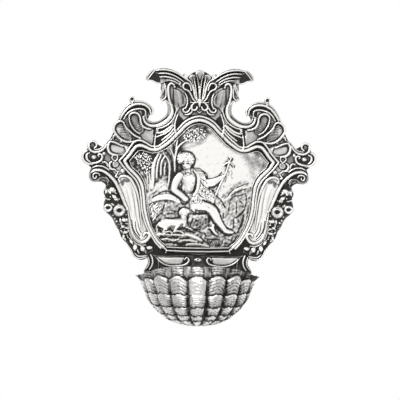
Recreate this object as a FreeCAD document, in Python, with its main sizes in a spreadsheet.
"""Holy water stoup for a wall: a chased silver backplate with cast ornaments, a framed relief,
a scallop-shell basin held by two threaded studs, and a hanging ring in a soldered strap.

The wall is the plane y = 0 and the front faces -Y. The origin is the point on the wall where the
hook carries the raised hanging ring. All sizes are in millimetres.
"""
import FreeCAD, Part
import math
import os

V = FreeCAD.Vector
doc = FreeCAD.newDocument("holy_water_stoup")

# ---------------------------------------------------------------------------------------------
# driving dimensions
# ---------------------------------------------------------------------------------------------
SIZES = [
    ("plate_width", "234.6", "over the two ears"),
    ("plate_height", "230.7", "crest to the end of the tongue behind the basin"),
    ("wall_gap", "5.0", "wall to the rear of the sheet"),
    ("sheet_thickness", "1.0", "chased backplate"),
    ("frame_rise", "5.0", "moulding round the relief"),
    ("scroll_rise", "4.5", "scrolls, hood and ears"),
    ("shell_rise", "3.6", "wings, garlands and skirts"),
    ("palmette_rise", "5.5", "crest palmette"),
    ("apron_rise", "2.6", "scrolls on the apron"),
    ("figure_rise", "5.0", "highest relief of the plaque"),
    ("plaque_thickness", "0.8", "sheet that carries the relief"),
    ("plaque_clearance", "0.3", "play of the plaque in its frame"),
    ("basin_width", "123.0", "over the rim corners"),
    ("basin_height", "49.7", "rim corner to the lowest point"),
    ("basin_depth", "60.0", "how far the rim stands out from its back"),
    ("basin_wall", "1.2", "fluted bowl"),
    ("rim_rise", "12.0", "front of the rim above its corners"),
    ("flute_depth", "3.1", "valley between two flutes"),
    ("growth_step", "0.9", "ledge between two tiers of scales"),
    ("basin_back_thickness", "1.0", "flat back of the basin"),
    ("basin_back_rise", "4.0", "back of the basin above the rim corners"),
    ("stud_diameter", "3.0", "threaded stud"),
    ("stud_hole_clearance", "0.4", "on the diameter"),
    ("stud_spacing", "50.0", "centre to centre"),
    ("stud_drop", "9.0", "studs below the rim corners"),
    ("stud_overrun", "0.7", "stud past its nut"),
    ("washer_diameter", "8.0", ""),
    ("washer_thickness", "0.6", ""),
    ("nut_diameter", "7.0", "knurled round nut"),
    ("nut_thickness", "2.2", ""),
    ("thread_play", "0.1", "on the diameter"),
    ("ring_diameter", "24.0", "hanging ring, outside"),
    ("ring_wire", "2.4", "hanging ring, wire"),
    ("ring_play", "0.6", "wire to its strap and to the sheet"),
    ("strap_width", "5.0", "hanger strap, along the ring's wire"),
    ("strap_thickness", "0.8", "hanger strap"),
    ("strap_foot", "3.0", "soldered foot of the strap"),
    ("foot_diameter", "8.0", "spacer foot against the wall"),
    ("foot_spacing", "112.0", "centre to centre"),
    ("foot_drop", "122.0", "spacer feet below the hook"),
]
sheet = doc.addObject("Spreadsheet::Sheet", "sizes")
for row, (alias, value, note) in enumerate(SIZES, start=1):
    sheet.set(f"A{row}", alias)
    sheet.set(f"B{row}", value)
    sheet.set(f"C{row}", note)
    sheet.setAlias(f"B{row}", alias)
doc.recompute()


def size(alias):
    return float(sheet.get(alias))


# The ornament is drawn once for a plate of PATTERN_WIDTH by PATTERN_HEIGHT and follows the plate.
PATTERN_WIDTH = 234.6
PATTERN_HEIGHT = 230.7
ACROSS = size("plate_width") / PATTERN_WIDTH
UPRIGHT = size("plate_height") / PATTERN_HEIGHT
BASIN_CORNER = -187.0 * UPRIGHT
PLAQUE_MIDDLE = -98.0 * UPRIGHT
SHEET_FRONT = "sizes.wall_gap + sizes.sheet_thickness"

FACET = 4.6            # length of one facet along a ridge
CROWN = 0.5            # width of a crown over the width of its foot
SHOULDER = 0.6         # height of the foot over the whole rise
BOSS_SIDES = 8
FLUTES = 9
WIRE_SIDES = 12
CAP_TURN = math.radians(42)


# ---------------------------------------------------------------------------------------------
# curves and features
# ---------------------------------------------------------------------------------------------
def drawn(across, up):
    """A point of the pattern on the real plate."""
    return V(across * ACROSS, up * UPRIGHT, 0)


def through(points, spacing=FACET):
    """Evenly spaced points of the smooth curve through the given ones."""
    curve = Part.BSplineCurve()
    curve.interpolate(points)
    edge = curve.toShape()
    count = max(len(points), int(round(edge.Length / spacing)) + 1)
    return edge.discretize(Number=count)


def outline(stretches, spacing=FACET):
    """Half an outline: smooth stretches that meet at cusps."""
    half = []
    for stretch in stretches:
        run = through([drawn(*point) for point in stretch], spacing)
        half.extend(run if not half else run[1:])
    return half


def closed(half):
    """The half outline and its mirror image as one loop."""
    other = [V(-point.x, point.y, 0) for point in reversed(half) if abs(point.x) > 1e-6]
    return half + other


def loop_edges(points):
    return [Part.LineSegment(a, b) for a, b in zip(points, points[1:] + points[:1])]


def new_body(label):
    body = doc.addObject("PartDesign::Body", label)
    body.Label = label
    return body


def sketch(body, name, loops, plane="XZ_Plane", offset="0"):
    origin = [feature for feature in body.Origin.OriginFeatures if feature.Role == plane][0]
    drawing = body.newObject("Sketcher::SketchObject", name)
    drawing.AttachmentSupport = (origin, "")
    drawing.MapMode = "FlatFace"
    drawing.setExpression("AttachmentOffset.Base.z", offset)
    for geometry in loops:
        drawing.addGeometry(geometry, False)
    return drawing


def pad(body, name, loops, start, length, plane="XZ_Plane", both_ways=False):
    """Material of the given length; from the XZ plane it grows towards the front."""
    feature = body.newObject("PartDesign::Pad", name)
    feature.Profile = sketch(body, name + "_outline", loops, plane, start)
    feature.setExpression("Length", length)
    feature.Midplane = both_ways
    feature.Refine = False
    body.Tip = feature
    return feature


def relief(body, name, foot, crown, start, rise, stepped=True):
    """Relief in two steps: a wide foot outline, and a narrower crown on top of it."""
    if not stepped:
        pad(body, name, [loop_edges(foot)], start, rise)
        return
    pad(body, name + "_foot", [loop_edges(foot)], start, f"({rise}) * {SHOULDER}")
    pad(body, name + "_crown", [loop_edges(crown)], f"{start} + ({rise}) * {SHOULDER}",
        f"({rise}) * {1 - SHOULDER}")


def ridge(body, name, points, rise, start=SHEET_FRONT, side=1, stepped=True):
    """A tapering ridge. Each point is (across, up, half width); the spline carries all three."""
    knots = [V(side * u * ACROSS, w * UPRIGHT, half) for u, w, half in points]
    curve = Part.BSplineCurve()
    curve.interpolate(knots)
    count = max(3, int(round(curve.toShape().Length / FACET)) + 1)
    first, last = curve.FirstParameter, curve.LastParameter
    stations = [curve.parameter(p) for p in curve.toShape().discretize(Number=count)]
    stations[0], stations[-1] = first, last

    def loop(share):
        left, right, ends = [], [], []
        for station in stations:
            here = curve.value(station)
            along = curve.tangent(station)[0]
            along = V(along.x, along.y, 0).normalize()
            out = V(-along.y, along.x, 0) * here.z * share
            middle = V(here.x, here.y, 0)
            left.append(middle + out)
            right.append(middle - out)
            ends.append((middle, along * here.z * share, out))
        middle, along, out = ends[-1]
        far = [middle + along * math.cos(turn) + out * math.sin(turn) for turn in (CAP_TURN, -CAP_TURN)]
        middle, along, out = ends[0]
        near = [middle - along * math.cos(turn) + out * math.sin(turn) for turn in (-CAP_TURN, CAP_TURN)]
        return left + far + list(reversed(right)) + near

    relief(body, name, loop(1.0), loop(CROWN), start, rise, stepped)


def boss(body, name, centre, radius, rise, start=SHEET_FRONT, side=1, oval=1.0):
    """A bead or rounded lump; oval stretches it upright."""
    u, w = centre
    middle = V(side * u * ACROSS, w * UPRIGHT, 0)

    def loop(share):
        turns = [2 * math.pi * index / BOSS_SIDES for index in range(BOSS_SIDES)]
        return [middle + V(math.cos(t), math.sin(t) * oval, 0) * radius * share for t in turns]

    relief(body, name, loop(1.0), loop(CROWN), start, rise)


def web(body, name, points, thickness, side=1):
    """A low flat web of the casting between its ridges."""
    corners = [V(side * u * ACROSS, w * UPRIGHT, 0) for u, w in points]
    return pad(body, name, [loop_edges(corners)], SHEET_FRONT, thickness)


def ornament(label, side, rise, webs=(), ridges=(), bosses=()):
    """One casting: low webs, then ridges (points, share of the rise), then beads."""
    body = new_body(label)
    for index, points in enumerate(webs):
        web(body, f"{label}_web_{index}", points, f"{rise} * 0.28", side)
    for index, (points, share) in enumerate(ridges):
        ridge(body, f"{label}_ridge_{index}", points, f"{rise} * {share}", side=side)
    for index, (centre, radius, share) in enumerate(bosses):
        boss(body, f"{label}_boss_{index}", centre, radius, f"{rise} * {share}", side=side)
    return body


# ---------------------------------------------------------------------------------------------
# backplate and the moulding with its relief
# ---------------------------------------------------------------------------------------------
PLATE_OUTLINE = [
    [(0, 17), (5, 17), (10.5, 13.5), (15, 7)],
    [(15, 7), (19, 13), (24, 16.5), (31, 18.5), (38, 19), (45, 17.5), (51.5, 12)],
    [(51.5, 12), (49, 9), (44, 7.2), (38.5, 5.5)],
    [(38.5, 5.5), (38, 0), (37, -5), (34, -10.5)],
    [(34, -10.5), (30.5, -14.5), (29.2, -20), (30.5, -26.5), (34, -31), (39, -34), (44, -35.5),
     (49, -34.8), (52, -32)],
    [(52, -32), (50, -27), (47, -23)],
    [(47, -23), (50, -18.4), (55.5, -15.8), (61.5, -14.4), (67.5, -14.9), (72, -17), (75.5, -21.5),
     (78.5, -27), (81.5, -33)],
    [(81.5, -33), (84.5, -36.5), (85.5, -43), (88, -49), (93, -56.5)],
    [(93, -56.5), (97, -58.5), (102, -56), (107, -54.2), (111, -57), (112, -61.5)],
    [(112, -61.5), (116, -64), (117, -68.5), (115, -73.4), (111, -77), (107.5, -80)],
    [(107.5, -80), (109.5, -85), (108, -91), (103.5, -93.8), (97.5, -93.5)],
    [(97.5, -93.5), (93, -97), (95, -104.5), (92.5, -111), (94.5, -117.5), (92, -123.5),
     (86.5, -129.5), (82, -136), (79.5, -142), (76.5, -149.5), (70.5, -156)],
    [(70.5, -156), (67, -163), (63, -168), (58.8, -170.6), (51, -169)],
    [(51, -169), (49.5, -173.5), (51, -178), (54, -182.5)],
    [(54, -182.5), (47, -193), (36, -202.5), (19, -209.5), (0, -211)],
]
FRAME_OUTER = [
    [(0, -26.3), (9, -28.8), (15.5, -32.8), (20.5, -38.3), (24.5, -41.8)],
    [(24.5, -41.8), (29, -46.6), (35, -52.2), (41.5, -56.9), (47.7, -56.5), (53, -53.3), (58, -50.8),
     (63.5, -51.3), (68.5, -56.4), (73.5, -64), (81, -72.7)],
    [(81, -72.7), (76, -79.1), (69.5, -86), (64.3, -91.3), (60.5, -98.3), (58.3, -108.2), (57, -121.2),
     (53.7, -134), (48, -146), (43, -154), (38, -160)],
    [(38, -160), (30, -163.3), (15, -164), (0, -164.2)],
]
FRAME_INNER = [
    [(0, -35.8), (6, -36.8), (11.5, -40.2), (16.5, -45.3), (22, -51)],
    [(22, -51), (28.5, -57.6), (35, -61.8), (41.5, -64.6), (48, -65), (53.5, -63.6), (57.5, -62.8),
     (61, -64), (63.5, -66.8), (66, -70), (68.5, -72.9)],
    [(68.5, -72.9), (65.5, -79), (60.5, -83.5), (56.5, -88.5), (53.5, -95), (52, -105.5), (50.5, -121),
     (47.3, -134), (42.5, -145), (37, -152.5), (31, -157)],
    [(31, -157), (24, -158.2), (12, -159.2), (0, -159.5)],
]


def frame_loop(share):
    """A loop between the outer edge of the moulding (share 0) and its sight edge (share 1)."""
    half = []
    for outer, inner in zip(FRAME_OUTER, FRAME_INNER):
        stretch = [drawn(a + (c - a) * share, b + (d - b) * share)
                   for (a, b), (c, d) in zip(outer, inner)]
        run = through(stretch, 6.0)
        half.extend(run if not half else run[1:])
    return closed(half)


def backplate():
    body = new_body("backplate")
    pad(body, "plate_sheet", [loop_edges(closed(outline(PLATE_OUTLINE, 5.5)))],
        "sizes.wall_gap", "sizes.sheet_thickness")
    holes = sketch(body, "plate_stud_holes", [stud_circle(side, "hole") for side in (-1, 1)],
                   "XZ_Plane", "sizes.wall_gap")
    cut = body.newObject("PartDesign::Pocket", "plate_stud_pocket")
    cut.Profile = holes
    cut.setExpression("Length", "sizes.sheet_thickness")
    cut.Reversed = True
    body.Tip = cut
    return body


def stud_circle(side, fit):
    radius = size("stud_diameter") / 2
    if fit == "hole":
        radius += size("stud_hole_clearance") / 2
    if fit == "nut":
        radius += size("thread_play") / 2
    return [Part.Circle(stud_centre(side), V(0, 0, 1), radius)]


def stud_centre(side):
    return V(side * size("stud_spacing") / 2, BASIN_CORNER - size("stud_drop"), 0)


def frame_moulding():
    body = new_body("frame_moulding")
    bands = [(0.0, 1.0, 0.4), (0.04, 0.56, 1.0), (0.76, 0.97, 0.66)]
    for index, (outer, inner, share) in enumerate(bands):
        loops = [loop_edges(frame_loop(outer)), loop_edges(frame_loop(inner))]
        pad(body, f"frame_band_{index}", loops, SHEET_FRONT, f"sizes.frame_rise * {share}")
    return body


# each ridge of the relief: name, share of the highest relief, points
PLAQUE_RIDGES = [
    ("leaves", 0.28, [(-14, -48, 3.5), (-3, -45, 6.5), (8, -46.5, 5)]),
    ("bush", 0.24, [(-61, -68.5, 3), (-54, -73, 6), (-53, -83, 4)]),
    ("trunk", 0.37, [(-12.5, -49.3, 0.8), (-18.5, -56, 0.9), (-22.9, -60.5, 1.2), (-24.5, -67.5, 1.3),
                     (-24, -84.5, 1.0)]),
    ("fold_1", 0.29, [(-42.5, -65, 0.9), (-45, -72, 1.8), (-46, -88, 2.1), (-45, -101, 1.2)]),
    ("fold_2", 0.27, [(-38.1, -67, 0.8), (-41.5, -80, 1.3), (-40.1, -95.8, 0.9)]),
    ("fold_3", 0.26, [(-33, -64, 0.9), (-29.1, -74.6, 1.1), (-29.9, -98.6, 0.8)]),
    ("bank", 0.25, [(-45.5, -110.4, 1.2), (-38.5, -107.8, 2.4), (-31.5, -107.3, 2.8),
                    (-19.1, -111.4, 1.2)]),
    ("hill", 0.22, [(25, -113, 4), (35, -110, 8.5), (42, -106, 6)]),
    ("slope", 0.21, [(29, -126, 5), (38, -127, 6.5), (41, -137, 4)]),
    ("seat", 0.2, [(-6.5, -132, 4.5), (0, -134, 7), (6.5, -136, 4.5)]),
    ("ground", 0.23, [(-40.5, -146.5, 1.4), (-22.5, -146.7, 1.3), (-4, -147, 2.2), (1.5, -146, 1.5)]),
    ("staff", 0.34, [(30.1, -73.8, 0.9), (23.9, -90.5, 0.9), (17.7, -106.6, 0.9)]),
    ("staff_bar", 0.32, [(24.3, -76.7, 0.9), (30.1, -72.4, 1.1), (35.1, -77.3, 0.9)]),
    ("far_arm", 0.6, [(4.5, -94.9, 3.2), (10.5, -94.8, 3.8), (16.1, -93.7, 3.4), (20.5, -90.6, 2.7),
                      (25, -87, 2.2)]),
    ("torso", 0.71, [(-9, -87, 5.6), (-9, -93, 5.6), (-9.6, -99, 4.6)]),
    ("pelt", 0.63, [(-3, -82.5, 2.4), (3.5, -87, 3.6), (6, -95, 3.8), (9, -101, 4.4), (14, -108.5, 4)]),
    ("pelt_hem", 0.65, [(-7, -107, 4), (2, -110, 4.5), (11, -110.6, 3.6)]),
    ("thigh", 0.82, [(-8.5, -117.2, 4.2), (-1.5, -117, 4.6), (6.5, -117.5, 4.5), (15.4, -121.2, 3.7)]),
    ("shin", 0.78, [(15.9, -122.6, 3.6), (17.7, -126.6, 3.3), (20.5, -132, 2.8), (26.9, -141.4, 2.1)]),
    ("foot", 0.56, [(26.1, -141, 2.0), (30.1, -143, 2.0), (34.1, -143.7, 1.6)]),
    ("far_foot", 0.5, [(14.1, -134.7, 1.5), (13.1, -138.7, 1.6), (18.5, -146.2, 1.4)]),
    ("upper_arm", 0.7, [(-17.1, -86.8, 3.0), (-20.5, -91, 3.0), (-24.7, -99, 2.6)]),
    ("forearm", 0.75, [(-24.9, -100.1, 2.6), (-17.1, -106.4, 2.5), (-12.5, -109.8, 2.5)]),
    ("lamb", 0.45, [(-36, -134.5, 3.6), (-28, -134.6, 4.2), (-18, -134, 3.6), (-12.5, -134, 2.6)]),
    ("lamb_head", 0.62, [(-13.7, -122, 3.8), (-14.1, -127.3, 2.8), (-14.5, -130.3, 1.8)]),
]


def relief_plaque():
    """The relief: a seated child with a reed-cross staff, a lamb, a tree, rocks and folded drapery."""
    body = new_body("relief_plaque")
    shrink = 1 - size("plaque_clearance") / (size("plate_width") / 4)
    middle = V(0, PLAQUE_MIDDLE, 0)
    edge = [middle + (point - middle) * shrink for point in frame_loop(1.0)]
    start = SHEET_FRONT + " + sizes.plaque_thickness"
    for name, share, points in PLAQUE_RIDGES:
        ridge(body, "plaque_" + name, points, f"sizes.figure_rise * {share}", start, stepped=False)
    boss(body, "plaque_boulder", (-26.5, -120.2), 7.0, "sizes.figure_rise * 0.23", start)
    boss(body, "plaque_head", (-12.9, -72.3), 8.2, "sizes.figure_rise * 0.67", start, oval=1.12)
    boss(body, "plaque_face", (-13.0, -76.0), 4.8, "sizes.figure_rise", start, oval=1.3)
    pad(body, "plaque_sheet", [loop_edges(edge)], SHEET_FRONT, "sizes.plaque_thickness")
    return body


# ---------------------------------------------------------------------------------------------
# cast ornaments
# ---------------------------------------------------------------------------------------------
def crest_palmette():
    body = new_body("crest_palmette")
    rise = "sizes.palmette_rise"
    centre = [(0, 15.3, 3.2), (0, 6, 3.6), (0, -4, 2.6), (0, -12, 2.4), (0, -22.5, 2.0)]
    ridge(body, "palmette_rib", centre, rise)
    for side in (-1, 1):
        tag = "right" if side > 0 else "left"
        lobe = [(8.5, 12, 2.4), (8, 6, 2.6), (5, -2, 2.0), (2.5, -9, 1.4)]
        handle = [(14, 3.5, 1.4), (10.8, 1, 1.5), (9, -5, 1.5), (3.4, -12, 1.5)]
        ridge(body, f"palmette_lobe_{tag}", lobe, rise + " * 0.8", side=side)
        ridge(body, f"palmette_handle_{tag}", handle, rise + " * 0.55", side=side)
        boss(body, f"palmette_volute_{tag}", (4.6, -17), 3.3, rise + " * 0.75", side=side)
    return body


CORNICE_RIDGES = [
    ([(15.5, 7.5, 1.6), (19, 10, 2.6), (24, 12.8, 3.6), (31, 14, 4.3), (38, 14, 4.6), (44.5, 12.8, 4.6),
      (47.5, 11.5, 4.2)], 0.6),
    ([(18, 12, 0.9), (24, 15.8, 1.1), (31, 17.3, 1.2), (38, 17.5, 1.2), (45, 15.8, 1.2)], 1.0),
    ([(22, 10.5, 0.8), (29, 11.8, 1.0), (37, 11.8, 1.0), (44, 10.4, 1.0)], 0.85),
    ([(38, 9.5, 1.6), (37, 2, 1.9), (36, -4, 1.6), (34.8, -8, 1.0)], 0.7),
]
CREST_SCROLL_RIDGES = [
    ([(26, 2.5, 1.8), (28, 5, 1.6), (30.5, 4.2, 1.6), (31.5, 0, 1.7), (31, -8.7, 1.8), (28, -17, 2.4),
      (27.5, -24.6, 2.8), (30.5, -30.6, 3), (36, -35.4, 2.8), (42, -37.6, 2.4), (48.5, -37.8, 2.2),
      (53.5, -36.8, 1.9), (56, -34, 1.6), (57, -30.8, 1.3)], 1.0),
    ([(14, -4, 1.0), (12.6, -10, 1.1), (13.2, -16, 1.2), (16, -21, 1.5), (14, -24.5, 1.2),
      (10.5, -24.6, 1.0)], 0.7),
]
CREST_SCROLL_WEB = [(14, -3), (20, -1), (30, 3), (29.5, -12), (26.5, -20), (29, -31), (21, -33.5),
                    (16.5, -24), (12.8, -14)]
HOOD_RIDGES = [
    ([(80.3, -33.4, 1.5), (77, -27, 1.9), (73.5, -21.5, 2.1), (69.5, -18, 2.2), (64, -16.4, 2.2),
      (57.5, -17, 2.2), (52, -19.4, 2.0), (49, -23, 1.8), (49, -27, 1.4)], 1.0),
    ([(75.5, -29.5, 1.0), (71, -24, 1.3), (65, -20.6, 1.4), (58.5, -20.6, 1.4), (53.5, -23, 1.0)], 0.6),
    ([(67.6, -11.8, 2.3), (67.2, -15.5, 1.2)], 0.8),
]
SHELL_WEB = [(56, -47.8), (61, -33), (65, -25.6), (70, -27), (76, -35.5), (84, -38.5), (84, -45),
             (87, -51), (89.5, -59), (87.5, -66), (88, -76), (80, -86), (76, -84.5), (80.5, -77.5),
             (84, -72.5), (82.5, -67.5), (77.5, -63.5), (73, -57), (70, -52), (64, -48)]
SHELL_RIDGES = [
    ([(59, -44, 1.4), (62, -37, 3), (65.8, -29.6, 3.8)], 0.9),
    ([(57.5, -46.2, 1.0), (63, -43.2, 1.2), (68.2, -38.2, 1.4), (71.5, -34, 1.6)], 1.0),
    ([(61, -46.2, 1.2), (70, -42.8, 3), (79, -40.4, 4.6)], 0.9),
    ([(65, -48, 1.0), (73, -47.5, 1.6), (82.5, -47.8, 2.8)], 0.8),
    ([(70, -50.5, 1.0), (77, -54.5, 3.2), (83.5, -58.5, 5)], 0.95),
]
SHELL_BOSSES = [((84.6, -68.6), 2.8, 0.8), ((84.8, -76.4), 3.4, 0.9), ((79.2, -83.4), 3.1, 0.9)]
EAR_RIDGES = [
    ([(106.5, -56.6, 1.6), (110, -58, 1.6), (109.8, -61, 1.8), (106.7, -63.6, 2), (102.4, -64.2, 2),
      (98, -62.6, 1.8), (94.8, -59.6, 1.4)], 0.85),
    ([(109.5, -62.5, 1.6), (114, -64.8, 1.8), (115.2, -68.6, 2), (113.6, -73, 2.1), (109.8, -75.6, 2.1),
      (104.5, -76, 2), (99.6, -74.2, 1.8), (97.6, -70.6, 1.6), (99.6, -67.4, 1.5), (103, -68, 1.5)], 1.0),
]
SIDE_SCROLL_RIDGES = [
    ([(100.2, -88.6, 1.3), (101.6, -91, 1.5), (105, -91.2, 1.7), (106.6, -87.6, 1.9), (105, -84.2, 2),
      (101, -82.4, 2.1), (96.5, -83, 2.2), (91.5, -85.6, 2.2), (86.7, -89.8, 2.2), (82.4, -95, 2.2),
      (78.2, -101.2, 2.2), (74.6, -108.4, 2.1), (71.2, -115.6, 1.9), (69, -120, 1.3)], 1.0),
    ([(79, -92.8, 1.8), (78.4, -89.6, 1.3), (75, -88.4, 1.3), (70.6, -90.2, 1.3), (66.8, -94.2, 1.3),
      (64.2, -99.4, 1.3), (62.6, -106, 1.3), (61.4, -116, 1.3), (60.4, -128, 1.3), (58.6, -138, 1.2),
      (57, -143, 1.0)], 0.7),
    ([(67, -127, 1.3), (66.2, -136, 1.7), (65, -144, 1.9), (62.6, -150.2, 2), (58.4, -152.8, 2),
      (54.4, -151.6, 1.8), (53, -148, 2.2)], 0.95),
]
SIDE_SCROLL_WEB = [(78, -101), (73, -111), (69, -120), (67.5, -128), (66, -138), (61, -136), (61, -120),
                   (63, -104), (67, -95), (72, -90.5), (78, -91), (82, -95)]
GARLAND_WEB = [(93.5, -92), (95, -104), (91.5, -112), (94, -120), (89, -126), (85.5, -130.5),
               (81, -140), (77, -149.5), (73, -151), (70, -143), (70.5, -131), (73.5, -119.5),
               (80.5, -112), (84, -101), (89.5, -94)]
GARLAND_RIDGES = [
    ([(91.5, -93.5, 1.0), (90, -98, 1.2), (88, -103, 1.2), (86, -110, 1.2)], 0.7),
    ([(89, -99, 1.0), (92.5, -102, 1.8), (94, -106, 1.0)], 0.8),
    ([(88, -104, 1.2), (84.5, -109, 2.4), (81.5, -114.5, 1.2)], 0.85),
    ([(80, -130, 1.2), (78, -140, 1.4), (75, -148, 1.2)], 0.5),
]
GARLAND_BOSSES = [
    ((88, -101.5), 2.6, 0.8), ((89.6, -119.6), 4.4, 1.0), ((78.8, -123.4), 5.6, 1.0),
    ((84, -130), 2.6, 0.8), ((76.4, -133), 2.6, 0.8), ((81, -136.4), 2.3, 0.8), ((75, -139), 2.4, 0.8),
    ((76, -144.6), 2.1, 0.8),
]
SKIRT_WEB = [(70.5, -153.5), (67, -161), (63.5, -166.5), (58.8, -170), (53, -168.6), (50.5, -165),
             (50.5, -158.5), (57, -157.4), (64, -155), (68.5, -152.4)]
SKIRT_RIDGES = [
    ([(68.6, -155, 1.4), (66.4, -161.6, 1.8)], 0.8),
    ([(64.6, -157.4, 1.4), (62.6, -164.6, 2.2)], 0.9),
    ([(59, -159.4, 1.4), (58.4, -167, 2.4)], 0.9),
    ([(53.4, -159.8, 1.3), (53.6, -165.8, 2.0)], 0.8),
]
APRON_RIDGES = [
    ([(41.5, -168.6, 1.4), (37.5, -172.6, 1.8), (30.5, -174.6, 2), (23.5, -175.4, 2), (16.5, -174.6, 1.8),
      (11.6, -171.8, 1.6), (12.6, -168.6, 1.3)], 1.0),
    ([(47.6, -168.2, 1.2), (45.4, -172.4, 1.5), (46, -176.2, 1.5), (48.4, -178.6, 1.3)], 0.9),
]
APRON_WEB_HALF = [(0, -166.2), (41, -166.4), (49, -167.2), (47.6, -172.6), (48.8, -177), (50.6, -180),
                  (0, -180)]


def side_ornaments(side):
    tag = "right" if side > 0 else "left"
    return [
        ornament(f"crest_cornice_{tag}", side, "sizes.scroll_rise", ridges=CORNICE_RIDGES),
        ornament(f"crest_scroll_{tag}", side, "sizes.scroll_rise", [CREST_SCROLL_WEB],
                 CREST_SCROLL_RIDGES),
        ornament(f"wing_hood_{tag}", side, "sizes.scroll_rise", ridges=HOOD_RIDGES),
        ornament(f"wing_shell_{tag}", side, "sizes.shell_rise", [SHELL_WEB], SHELL_RIDGES, SHELL_BOSSES),
        ornament(f"ear_scroll_{tag}", side, "sizes.scroll_rise", ridges=EAR_RIDGES,
                 bosses=[((104.6, -69.6), 2.8, 1.0)]),
        ornament(f"side_scroll_{tag}", side, "sizes.scroll_rise", [SIDE_SCROLL_WEB], SIDE_SCROLL_RIDGES,
                 [((103.2, -87.6), 2.6, 1.0)]),
        ornament(f"garland_{tag}", side, "sizes.shell_rise", [GARLAND_WEB], GARLAND_RIDGES,
                 GARLAND_BOSSES),
        ornament(f"skirt_{tag}", side, "sizes.shell_rise", [SKIRT_WEB], SKIRT_RIDGES),
    ]


def apron_scrolls():
    body = new_body("apron_scrolls")
    rise = "sizes.apron_rise"
    corners = [drawn(*point) for point in APRON_WEB_HALF]
    pad(body, "apron_web", [loop_edges(closed(corners))], SHEET_FRONT, rise + " * 0.3")
    for side in (-1, 1):
        tag = "right" if side > 0 else "left"
        for index, (points, share) in enumerate(APRON_RIDGES):
            ridge(body, f"apron_ridge_{index}_{tag}", points, f"{rise} * {share}", side=side)
    boss(body, "apron_bead", (0, -170.6), 3.6, rise, oval=0.7)
    return body


# ---------------------------------------------------------------------------------------------
# basin: a scallop shell with a flat back on two studs
# ---------------------------------------------------------------------------------------------
BOWL_SIDE = [(0.0, 1.0), (0.09, 0.969), (0.17, 0.942), (0.36, 0.88), (0.5, 0.822), (0.66, 0.712),
             (0.82, 0.571), (0.915, 0.403), (0.968, 0.251), (1.0, 0.0)]      # level, share of the width
TIERS = [0.985, 0.817, 0.747, 0.573, 0.308, -0.06]   # lips of the scales, as shares of the height
BENDS = [0.44, 0.12]                                 # further sections where a tall tier curves
LEDGE = 0.35                                         # height of one growth step
TOP_ROOM = 2.0                                       # the loft runs past the rim before it is cut
RIM_CURVE = [(1.0, 0.0), (0.93, 0.22), (0.82, 0.49), (0.65, 0.77), (0.4, 0.956), (0.0, 1.0)]
# sections of one flute: place between its two valleys (-1 to 1), share of the flute's depth
SCALE = [(-1.0, 1.0), (-0.7, 0.25), (0.0, 0.0), (0.7, 0.25)]
NECK = [(-1.0, 1.0), (-0.55, 0.65), (0.0, 0.3), (0.55, 0.65)]


def fullness(level):
    """Width of the bowl at a level between its rim corners (0) and its lowest point (1)."""
    for (upper, wide), (lower, narrow) in zip(BOWL_SIDE, BOWL_SIDE[1:]):
        if level <= lower:
            return wide + (narrow - wide) * max(level - upper, 0) / (lower - upper)
    return 0.0


def bowl_loop(level, flare, section, back_reach):
    """Fluted outline of the bowl in plan, open side to the wall."""
    full = fullness(level)
    half = size("basin_width") / 2 * full + flare
    deep = size("basin_depth") * full + flare
    back = -(size("wall_gap") + size("sheet_thickness") + size("basin_back_thickness"))
    valley = size("flute_depth") * full
    places = [(flute, place, share) for flute in range(FLUTES) for place, share in section]
    places.append((FLUTES, -1.0, 1.0))
    points = []
    for flute, place, share in places:
        turn = math.pi * (flute + (place + 1) / 2) / FLUTES
        dip = valley * share
        points.append(V((half - dip) * math.cos(turn), back - (deep - dip) * math.sin(turn), 0))
    if level <= 0 and not back_reach:
        points[0].x = half
        points[-1].x = -half
    if back_reach:
        points.append(V(points[-1].x, back + back_reach, 0))
        points.append(V(points[0].x, back + back_reach, 0))
    return points


def bowl_loft(body, kind, name, sections):
    drawings = []
    for index, (level, flare, section, reach, lift) in enumerate(sections):
        height = BASIN_CORNER - level * size("basin_height") + lift
        loop = bowl_loop(level, flare, section, reach)
        drawings.append(sketch(body, f"{name}_{index}", [loop_edges(loop)], "XY_Plane", f"{height}"))
    feature = body.newObject(kind, name)
    feature.Profile = drawings[0]
    feature.Sections = drawings[1:]
    feature.Ruled = True
    feature.Refine = False
    body.Tip = feature
    return feature


def basin_shell():
    body = new_body("basin_shell")
    step = size("growth_step")
    wall = size("basin_wall")
    top = (size("rim_rise") + TOP_ROOM) / size("basin_height")
    outer = []
    for lower, upper in zip(TIERS, TIERS[1:]):
        outer.append((lower, 0.0, SCALE, 0.0, LEDGE))
        for bend in BENDS:
            if upper < bend < lower:
                share = (lower - bend) / (lower - upper)
                outer.append((bend, step * fullness(bend) * share, SCALE, 0.0, 0.0))
        outer.append((upper, step * fullness(upper), SCALE, 0.0, 0.0))
    outer.append((TIERS[-1], 0.0, NECK, 0.0, LEDGE))
    outer.append((-top, 0.0, NECK, 0.0, 0.0))
    bowl_loft(body, "PartDesign::AdditiveLoft", "bowl", outer)
    hollow = [(level, -wall, SCALE, 1.0, wall * (0.4 + 0.6 * level)) for level in TIERS[:-1]]
    hollow += [(level, -wall, NECK, 1.0, 1.0) for level in (TIERS[-1], -top)]
    bowl_loft(body, "PartDesign::SubtractiveLoft", "hollow", hollow)
    corner, rise, reach = BASIN_CORNER, size("rim_rise"), size("basin_width") / 2
    far, high = reach + TOP_ROOM, corner + rise + 2 * TOP_ROOM
    left = [V(-reach * share, corner + rise * height, 0) for share, height in RIM_CURVE]
    right = [V(-point.x, point.y, 0) for point in reversed(left[:-1])]
    corners = left + right + [V(far, corner, 0), V(far, high, 0), V(-far, high, 0), V(-far, corner, 0)]
    cut = body.newObject("PartDesign::Pocket", "rim_cut")
    cut.Profile = sketch(body, "rim_cut_outline", [loop_edges(corners)])
    cut.Type = 1
    cut.Reversed = True
    body.Tip = cut
    return body


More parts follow.
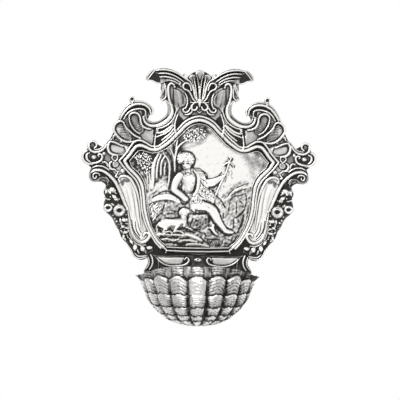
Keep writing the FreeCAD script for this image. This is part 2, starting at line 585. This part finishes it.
def basin_back():
    """Flat back of the basin; the bowl's edge is soldered to its front face."""
    body = new_body("basin_back")
    half_width = size("basin_width") / 2 - size("flute_depth")
    levels = [0.985, 0.95, 0.9, 0.84, 0.76, 0.66, 0.54, 0.4, 0.25, 0.1, 0.0]
    half = [V(half_width * fullness(level), BASIN_CORNER - level * size("basin_height"), 0)
            for level in levels]
    rise = size("basin_back_rise")
    half.append(V(half_width * 0.86, BASIN_CORNER + rise, 0))
    pad(body, "back_sheet", [loop_edges(closed(half))], SHEET_FRONT, "sizes.basin_back_thickness")
    return body


def fasteners(side):
    tag = "right" if side > 0 else "left"
    stud = new_body(f"basin_stud_{tag}")
    length = "sizes.sheet_thickness + sizes.washer_thickness + sizes.nut_thickness + sizes.stud_overrun"
    pad(stud, f"stud_rod_{tag}", [stud_circle(side, "rod")], f"{SHEET_FRONT} - ({length})", length)
    washer = new_body(f"stud_washer_{tag}")
    rim = Part.Circle(stud_centre(side), V(0, 0, 1), size("washer_diameter") / 2)
    pad(washer, f"washer_disc_{tag}", [[rim] + stud_circle(side, "hole")],
        "sizes.wall_gap - sizes.washer_thickness", "sizes.washer_thickness")
    nut = new_body(f"stud_nut_{tag}")
    sides = 16
    turns = [2 * math.pi * index / sides for index in range(sides)]
    radius = size("nut_diameter") / 2
    ribs = [stud_centre(side) + V(math.cos(t), math.sin(t), 0) * radius * (1.0 if i % 2 else 0.92)
            for i, t in enumerate(turns)]
    pad(nut, f"nut_disc_{tag}", [loop_edges(ribs), stud_circle(side, "nut")],
        "sizes.wall_gap - sizes.washer_thickness - sizes.nut_thickness", "sizes.nut_thickness")
    return [stud, washer, nut]


# ---------------------------------------------------------------------------------------------
# rear: strap, hanging ring and spacer feet
# ---------------------------------------------------------------------------------------------
WIRE_RADIUS = size("ring_wire") / 2
RING_RADIUS = (size("ring_diameter") - size("ring_wire")) / 2
PIVOT = V(0, -(size("wall_gap") - WIRE_RADIUS - size("ring_play")), WIRE_RADIUS - 2 * RING_RADIUS)


def hanger_strap():
    """A strip bent round the ring's wire, its two feet soldered to the sheet."""
    body = new_body("hanger_strap")
    inner = WIRE_RADIUS + size("ring_play")
    outer = inner + size("strap_thickness")
    seat, top = -size("wall_gap"), -size("wall_gap") + size("strap_thickness")
    wide = outer + size("strap_foot")
    y, z = PIVOT.y, PIVOT.z

    def line(a, b):
        return Part.LineSegment(V(a[0], z + a[1], 0), V(b[0], z + b[1], 0))

    edges = [
        line((seat, -wide), (top, -wide)),
        line((top, -wide), (top, -outer)),
        line((top, -outer), (y, -outer)),
        Part.Arc(V(y, z - outer, 0), V(y + outer, z, 0), V(y, z + outer, 0)),
        line((y, outer), (top, outer)),
        line((top, outer), (top, wide)),
        line((top, wide), (seat, wide)),
        line((seat, wide), (seat, inner)),
        line((seat, inner), (y, inner)),
        Part.Arc(V(y, z + inner, 0), V(y + inner, z, 0), V(y, z - inner, 0)),
        line((y, -inner), (seat, -inner)),
        line((seat, -inner), (seat, -wide)),
    ]
    pad(body, "strap_strip", [edges], "0", "sizes.strap_width", "YZ_Plane", both_ways=True)
    return body


def hanging_ring():
    """Round wire closed into a ring, modelled as stored: hanging down behind the sheet."""
    body = new_body("hanging_ring")
    turns = [2 * math.pi * (index + 0.5) / WIRE_SIDES for index in range(WIRE_SIDES)]
    centre = V(RING_RADIUS, PIVOT.y, 0)
    wire = [centre + V(math.cos(t), math.sin(t), 0) * WIRE_RADIUS for t in turns]
    feature = body.newObject("PartDesign::Revolution", "ring_wire_round")
    feature.Profile = sketch(body, "ring_section", [loop_edges(wire)], "XY_Plane")
    feature.ReferenceAxis = (feature.Profile[0], ["V_Axis"])
    feature.Angle = 360
    body.Tip = feature
    body.Placement = FreeCAD.Placement(V(0, 0, PIVOT.z - RING_RADIUS), FreeCAD.Rotation())
    return body


def rear_foot(side):
    tag = "right" if side > 0 else "left"
    body = new_body(f"rear_foot_{tag}")
    centre = V(side * size("foot_spacing") / 2, -size("foot_drop"), 0)
    disc = Part.Circle(centre, V(0, 0, 1), size("foot_diameter") / 2)
    pad(body, f"foot_{tag}", [[disc]], "0", "sizes.wall_gap")
    return body


# ---------------------------------------------------------------------------------------------
# build, check and write
# ---------------------------------------------------------------------------------------------
pieces = [backplate(), frame_moulding(), relief_plaque(), crest_palmette()]
for hand in (-1, 1):
    pieces += side_ornaments(hand)
pieces += [apron_scrolls(), basin_shell(), basin_back()]
for hand in (-1, 1):
    pieces += fasteners(hand)
pieces += [hanger_strap(), hanging_ring(), rear_foot(-1), rear_foot(1)]
doc.recompute()

for item in doc.Objects:
    if "Invalid" in item.State or "Error" in item.State:
        raise RuntimeError(f"{item.Name} failed: {item.State}")
for piece in pieces:
    shape = piece.Shape
    if shape.isNull() or not shape.isValid() or len(shape.Solids) != 1:
        raise RuntimeError(f"{piece.Label}: null {shape.isNull()}, solids {len(shape.Solids)}")

os.makedirs("parts", exist_ok=True)
for piece in pieces:
    piece.Shape.exportStep(f"parts/{piece.Label}.step")
    print(f"{piece.Label}: {piece.Shape.Volume:.1f} mm3")
